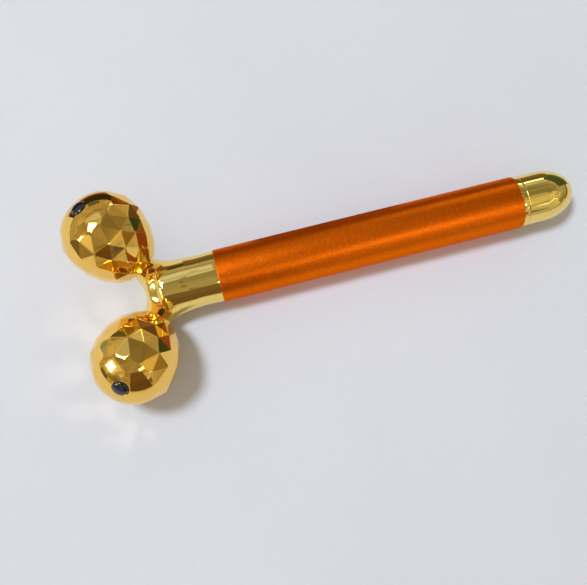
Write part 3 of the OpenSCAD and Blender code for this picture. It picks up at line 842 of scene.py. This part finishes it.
def ball_place(side):
    """Ball A sits on the +Y side (side 1), ball B on the -Y side (side -1)."""
    middle = Vector((tube_front - ball_reach, side * ball_spread / 2, ball_lift))
    return (Matrix.Translation(middle) @ Matrix.Rotation(math.pi - side * splay, 4, "Z")
            @ Matrix.Rotation(math.pi / 2 - rise, 4, "Y"))


def ball_radius(level):
    return ball_r * math.sqrt(1 - (level / (ball_front if level > 0 else ball_rear)) ** 2)


print("ball A's tip at mm", [round(v, 2) for v in ball_place(1) @ Vector((0, 0, ball_front))])

# %% Build a ball
def dome_height(reach, normal, angle):
    """Radius and level where a facet's plane meets the smooth dome at an angle."""
    side_pull = normal.x * math.cos(angle) + normal.y * math.sin(angle)
    # radius = p - q z on the plane, put into the dome's ellipse: qa z^2 + qb z + qc = 0
    p, q = reach / side_pull, normal.z / side_pull
    qa = q * q / ball_r ** 2 + 1 / ball_front ** 2
    qb, qc = -2 * p * q / ball_r ** 2, p * p / ball_r ** 2 - 1
    z = (-qb + math.sqrt(max(qb * qb - 4 * qa * qc, 0))) / (2 * qa)
    return p - q * z, z


def faceted_ball(name, side, turn, body, node, fine=8):
    """A ball turned by `turn` degrees; each facet of its first row has `fine` edge steps."""
    around = corners_round * fine
    angle = [math.radians(turn) + 2 * math.pi * j / around for j in range(around)]
    verts, faces, ridges = [], [], set()

    def put(points):
        verts.extend(points)
        return list(range(len(verts) - len(points), len(verts)))

    def band(below, above):
        nexts = [(j + 1) % around for j in range(around)]
        faces.extend([below[j], below[n], above[n], above[j]] for j, n in enumerate(nexts))

    def ridge_round(loop):
        ridges.update(frozenset((loop[j - 1], loop[j])) for j in range(len(loop)))

    rings = []
    for i in range(row_count + 1):
        level = dome_level - i * row_len
        shift = fine // 2 if i % 2 else 0
        rings.append(put([spot(ball_radius(level), angle[k * fine + shift], level)
                          for k in range(corners_round)]))
    at = lambda i, k: rings[i][k % corners_round]

    # The scalloped edge: each first-row flat runs on until it meets the smooth dome.
    edge = []
    for k in range(corners_round):
        a, b, c = (Vector(verts[v]) for v in (at(0, k), at(0, k + 1), at(1, k)))
        normal = (b - a).cross(c - a).normalized()
        edge.append(at(0, k))
        for t in angle[k * fine + 1:(k + 1) * fine]:
            r, z = dome_height(normal.dot(a), normal, t)
            edge += put([spot(r, t, z)])
    for k in range(corners_round):
        span = [edge[(k * fine + j) % around] for j in range(fine + 1)]
        faces.append(span[::-1] + [at(1, k)])
        ridges.update(frozenset(p) for p in zip(span, span[1:]))
    for i in range(row_count):
        lean = i % 2
        for k in range(corners_round):
            if i:
                faces.append([at(i, k), at(i, k + 1), at(i + 1, k + lean)])
                ridges.add(frozenset((at(i, k), at(i, k + 1))))
            faces.append([at(i + 1, k + lean), at(i + 1, k + lean - 1), at(i, k)])
            ridges.update(frozenset((at(i, k), at(i + 1, k + lean - s))) for s in (0, 1))
    ridge_round(rings[row_count])

    # The smooth dome, from the scallops up to the stone's seat.
    seat_r, rows = 2.70, 14
    seat_angle = math.asin((seat_r + 0.02) / ball_r)
    below = edge
    for row in range(1, rows + 1):
        ring_points = []
        for j in range(around):
            start = math.acos(min(1, verts[edge[j]][2] / ball_front))
            t = start + (seat_angle - start) * row / rows
            ring_points.append(spot(ball_r * math.sin(t), angle[j], ball_front * math.cos(t)))
        above = put(ring_points)
        band(below, above)
        below = above
    ridge_round(below)

    # The bore, from the stone's seat down past both bushes to the open mouth.
    bush_r, waist_r, mouth_r = 2.35, 2.0, 5.8
    waist_top, waist_low, bush_end, mouth = 2.0, -5.8, -10.8, -15.1
    for r, z in ((seat_r, stone_floor), (bush_r, stone_floor), (bush_r, waist_top),
                 (waist_r, waist_top), (waist_r, waist_low), (bush_r, waist_low),
                 (bush_r, bush_end), (mouth_r, bush_end), (mouth_r, mouth)):
        above = put([spot(r, a, z) for a in angle])
        band(below, above)
        below = above
    ridge_round(below)
    for k in range(corners_round):
        span = [below[(k * fine + fine // 2 + j) % around] for j in range(fine + 1)]
        faces.append(span + [at(row_count, k + 1), at(row_count, k)])

    ball = piece_from(name, verts, faces, rich_gold, body, ball_place(side), crease=1.0,
                      ridges=ridges)
    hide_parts(node)
    return ball


balls = [faceted_ball("ball_a_skin", 1, 17.7, "ball_a", "ball_a"),
         faceted_ball("ball_b_skin", -1, 11.4, "ball_b", "ball_b")]
print("balls", [(b.name, len(b.data.polygons)) for b in balls])

# %% [markdown]
# The key is made to pass ball A on its way to the table, so only ball B throws a strong
# shadow to the right. Light linking does it without changing any other light.

# %% Spare ball A from the key's shadow
spared = bpy.data.collections.new("spared by the key")
spared.objects.link(balls[0])
key.light_linking.blocker_collection = spared
for entry in spared.collection_objects:
    entry.light_linking.link_state = "EXCLUDE"

# %% [markdown]
# ## Stones
# A small black cabochon sits in each tip. Its dome is low and highly polished, so half
# of it mirrors the pale table and half the darker room.

# %% Stones
def stone_skin(name, side, body, node):
    steps, chamfer = 20, 0.1
    floor = stone_floor + 0.05
    dome_points = [
        (stone_r * math.cos(t), floor + stone_seat + stone_height * math.sin(t))
        for t in (math.pi / 2 * i / steps for i in range(steps))]
    profile = [(0, floor), (stone_r - chamfer, floor), (stone_r, floor + chamfer)]
    profile += dome_points + [(0, floor + stone_seat + stone_height)]
    stone = piece_from(name, *turned(profile, around=96), black_stone, body, ball_place(side))
    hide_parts(node)


stone_skin("stone_a_skin", 1, "ball_a", "stone_a")
stone_skin("stone_b_skin", -1, "ball_b", "stone_b")
print("stones set")

# %% [markdown]
# ## Yoke
# The yoke is one plated casting: a round collar that flows into two round shoulders, with
# an arm and a post to each ball. Bridging it by hand leaves pinches that a mirror finish
# shows at once. A distance function blends its rods with soft fillets instead, and a net
# of quads is pulled onto its zero level. The normals come from the same function, so
# reflections run over the fillets without a break.

# %% Distance to a tapered rod, and soft joins
def rod_distance(p, a, b, ra, rb):
    """Distance to a rod with round ends from a to b, whose radius goes from ra to rb."""
    a, b = np.array(a, float), np.array(b, float)
    run = b - a
    length = run @ run
    slope = ra - rb
    flat = length - slope * slope
    y = (p - a) @ run
    z = y - length
    x = np.sum(((p - a) * length - y[..., None] * run) ** 2, -1)
    y2, z2 = y * y * length, z * z * length
    k = np.sign(slope) * slope * slope * x
    far = np.sqrt(x + z2) / length - rb
    near = np.sqrt(x + y2) / length - ra
    side = (np.sqrt(x * flat / length) + y * slope) / length - ra
    end = np.where(np.sign(y) * flat * y2 < k, near, side)
    return np.where(np.sign(z) * flat * z2 > k, far, end)


def soft_union(a, b, k):
    h = np.maximum(k - np.abs(a - b), 0) / k
    return np.minimum(a, b) - h * h * h * k / 6


def soft_cut(a, b, k):
    return -soft_union(-a, -b, k)


print("distance helpers ready")

# %% The yoke's form
# All in mm. Levels are heights over the handle's axis, or distances along a ball's axle.
arm_r, arm_level, shoulder_r, collar_front = 4.0, -4.8, 7.2, tube_front - 20.3
shoulder_reach, shoulder_out, foot_level, rod_end = 18.1, 2.6, 17.2, 15.4
arm_bend, bend_r = 3.7, 3.9
neck_x, neck_out, neck_z, neck_r = -63.5, 1.5, -0.3, 7.1
lip_x, lip_out, lip_reach, lip_top, lip_edge = -74.2, 1.6, 3.5, 4.4, 2.8
under, cut_level, ball_room = -8.8, -8.82, 0.6
post_top, room_end, post_foot = -12.25, -15.7, -17
collar_tapers = ((0.03, 1.5), (0.02, 13))  # how steep, and from how far behind the seam


def yoke_arm(side):
    """Shoulder, bend, end of the rod, ball's middle and axle of one arm, in mm."""
    place = ball_place(side)
    middle, axle = np.array(place.translation), np.array(place.to_3x3() @ Vector((0, 0, 1)))
    shoulder = np.array([tube_front - shoulder_reach, side * shoulder_out, shoulder_r + under])
    foot = middle - foot_level * axle
    run = (foot - shoulder) * (1, 1, 0)
    bend = foot - arm_bend * run / np.linalg.norm(run)
    bend[2] = arm_level
    return shoulder, bend, middle - rod_end * axle, middle, axle


arms = [yoke_arm(side) for side in (1, -1)]


def slab_distance(p, a, b, reach, low, high, edge):
    """Distance to a level slab with round edges, drawn round a line seen from above."""
    a, b = np.array(a), np.array(b)
    t = np.clip(((p[..., :2] - a) @ (b - a)) / ((b - a) @ (b - a)), 0, 1)
    out = np.linalg.norm(p[..., :2] - a - t[..., None] * (b - a), axis=-1) - (reach - edge)
    up = np.abs(p[..., 2] - (low + high) / 2) - ((high - low) / 2 - edge)
    corner = np.hypot(np.maximum(out, 0), np.maximum(up, 0))
    return np.minimum(np.maximum(out, up), 0) + corner - edge


def collar_distance(p):
    across = np.hypot(p[..., 1], p[..., 2])
    slim = sum(rate * np.maximum(tube_front - start - p[..., 0], 0)
               for rate, start in collar_tapers)
    return soft_cut(across - trim_r + slim, collar_front - p[..., 0], 2.6)


def arm_distance(p, side, arm):
    shoulder, bend, end = arm[:3]
    neck = rod_distance(p, (neck_x, side * neck_out, neck_z), shoulder, neck_r, shoulder_r)
    upper = soft_union(neck, rod_distance(p, shoulder, bend, shoulder_r, arm_r), 1.2)
    return soft_union(upper, rod_distance(p, bend, end, bend_r, arm_r), 0.8)


def with_post(form, p, arm):
    """The form with room cut for the ball, and the post that carries it."""
    middle, axle = arm[3:]
    level = (p - middle) @ axle
    out = np.linalg.norm(p - middle - level[..., None] * axle, axis=-1)
    wide, half = ball_r + ball_room, np.where(level > 0, ball_front, ball_rear) + ball_room
    room = (np.sqrt((out / wide) ** 2 + (level / half) ** 2) - 1) * wide
    post = np.maximum(out - arm_r, np.maximum(level - post_top, post_foot - level))
    return soft_union(soft_cut(form, -np.maximum(room, room_end - level), 0.25), post, 0.25)


def yoke_distance(p):
    """The whole yoke; the last number of each join is how wide it blends, in mm."""
    sides = [arm_distance(p, side, arm) for side, arm in zip((1, -1), arms)]
    lip = slab_distance(p, (lip_x, -lip_out), (lip_x, lip_out), lip_reach, under, lip_top,
                        lip_edge)
    form = soft_union(soft_union(soft_union(*sides, 1.5), lip, 1.2), collar_distance(p), 1.8)
    form = soft_cut(form, cut_level - p[..., 2], 0.5)
    for arm in arms:
        form = with_post(form, p, arm)
    return form


print("shoulder and bend at mm", [[round(float(v), 1) for v in corner] for corner in arms[0][:2]])

# %% Lay a net over the form
def slope_of(distance, p, h=0.02):
    steps = np.eye(3) * h
    return np.stack([distance(p + s) - distance(p - s) for s in steps], -1) / (2 * h)


def net_over(distance, low, high, step, pulls=6):
    """Points, quads and normals of the zero level between two corners of a box."""
    axes = [np.arange(a, b + step / 2, step) for a, b in zip(low, high)]
    grid = np.stack(np.meshgrid(*axes, indexing="ij"), -1)
    inside = distance(grid) < 0
    n = [len(a) - 1 for a in axes]
    # A cell whose corners aren't all on one side gets a point, pulled onto the level.
    corners = [inside[i:i + n[0], j:j + n[1], k:k + n[2]]
               for i in (0, 1) for j in (0, 1) for k in (0, 1)]
    crossed = np.any(corners, axis=0) & ~np.all(corners, axis=0)
    number = np.full(n, -1)
    number[crossed] = np.arange(crossed.sum())
    points = grid[:-1, :-1, :-1][crossed] + step / 2
    for _ in range(pulls):
        slope = slope_of(distance, points)
        steep = np.maximum(np.sum(slope ** 2, -1, keepdims=True), 0.2)
        points = points - np.clip(distance(points)[:, None] * slope / steep, -step, step)
    # An edge that passes through the level gets a quad between its four cells.
    quads = []
    for axis in range(3):
        u, v = (axis + 1) % 3, (axis + 2) % 3
        first, second = [[slice(None)] * 3 for _ in range(2)]
        first[axis], second[axis] = slice(0, -1), slice(1, None)
        where = np.argwhere(inside[tuple(first)] != inside[tuple(second)])
        keep = (where[:, u] > 0) & (where[:, v] > 0) & (where[:, u] < n[u]) & (where[:, v] < n[v])
        where = where[keep]
        leaving = inside[tuple(first)][tuple(where.T)]
        around = []
        for du, dv in ((0, 0), (1, 0), (1, 1), (0, 1)):
            cell = where.copy()
            cell[:, u] -= du
            cell[:, v] -= dv
            around.append(number[tuple(cell.T)])
        quad = np.stack(around, -1)
        quads.append(np.where(leaving[:, None], quad, quad[:, ::-1]))
    slope = slope_of(distance, points)
    return points, np.concatenate(quads), slope / np.linalg.norm(slope, axis=-1, keepdims=True)


net_step, net_cells, net_wide, net_high = 0.3, 125, 19.5, 9.3
seam = tube_front - 1.0
net_rear = seam + net_step / 2
points, quads, normals = net_over(
    yoke_distance, (net_rear - net_cells * net_step, -net_wide, -net_high),
    (net_rear, net_wide, net_high), net_step)
print("net", len(points), "points", len(quads), "quads")

# %% [markdown]
# Behind the seam the yoke goes on as a turned plug inside the tube. It is a lathe part of
# its own, and both meshes are put together with their own normals.

# %% Yoke
spigot_r, spigot_end, pocket_r, pocket_end = 8.05, tube_front + 11, 6.2, -65.05
inner_profile = rounded(
    [(trim_r - 0.004, seam - 0.4), (trim_r, tube_front), (spigot_r, tube_front),
     (spigot_r, spigot_end), (pocket_r, spigot_end), (pocket_r, pocket_end)],
    [0, 0.14, 0, 0.1, 0.1, 0]) + [(0, pocket_end)]
inner_points, inner_faces = turned(inner_profile)
inner_points = [tuple(handle_axis @ Vector(p)) for p in inner_points]
inner = bpy.data.meshes.new("inner")
inner.from_pydata(inner_points, [], inner_faces)
face_outward(inner)
inner.shade_smooth()
inner.set_sharp_from_angle(angle=usual_crease)
rim = inner.polygons[0]
if rim.normal.dot(Vector((0, rim.center.y, rim.center.z))) < 0:
    inner.flip_normals()
inner_normals = [tuple(c.vector) for c in inner.corner_normals]
inner_faces = [tuple(v + len(points) for v in f.vertices) for f in inner.polygons]
skin = bpy.data.meshes.new("yoke_skin")
skin.from_pydata(
    [tuple(p * MM) for p in points] + [tuple(v * MM for v in p) for p in inner_points], [],
    [tuple(int(v) for v in q) for q in quads] + inner_faces)
skin.shade_smooth()
skin.normals_split_custom_set([tuple(normals[v]) for q in quads for v in q] + inner_normals)
skin.materials.append(pale_gold)
yoke = in_scene("yoke_skin", skin)
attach(yoke, "handle")
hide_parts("yoke")
print("yoke faces", len(skin.polygons))
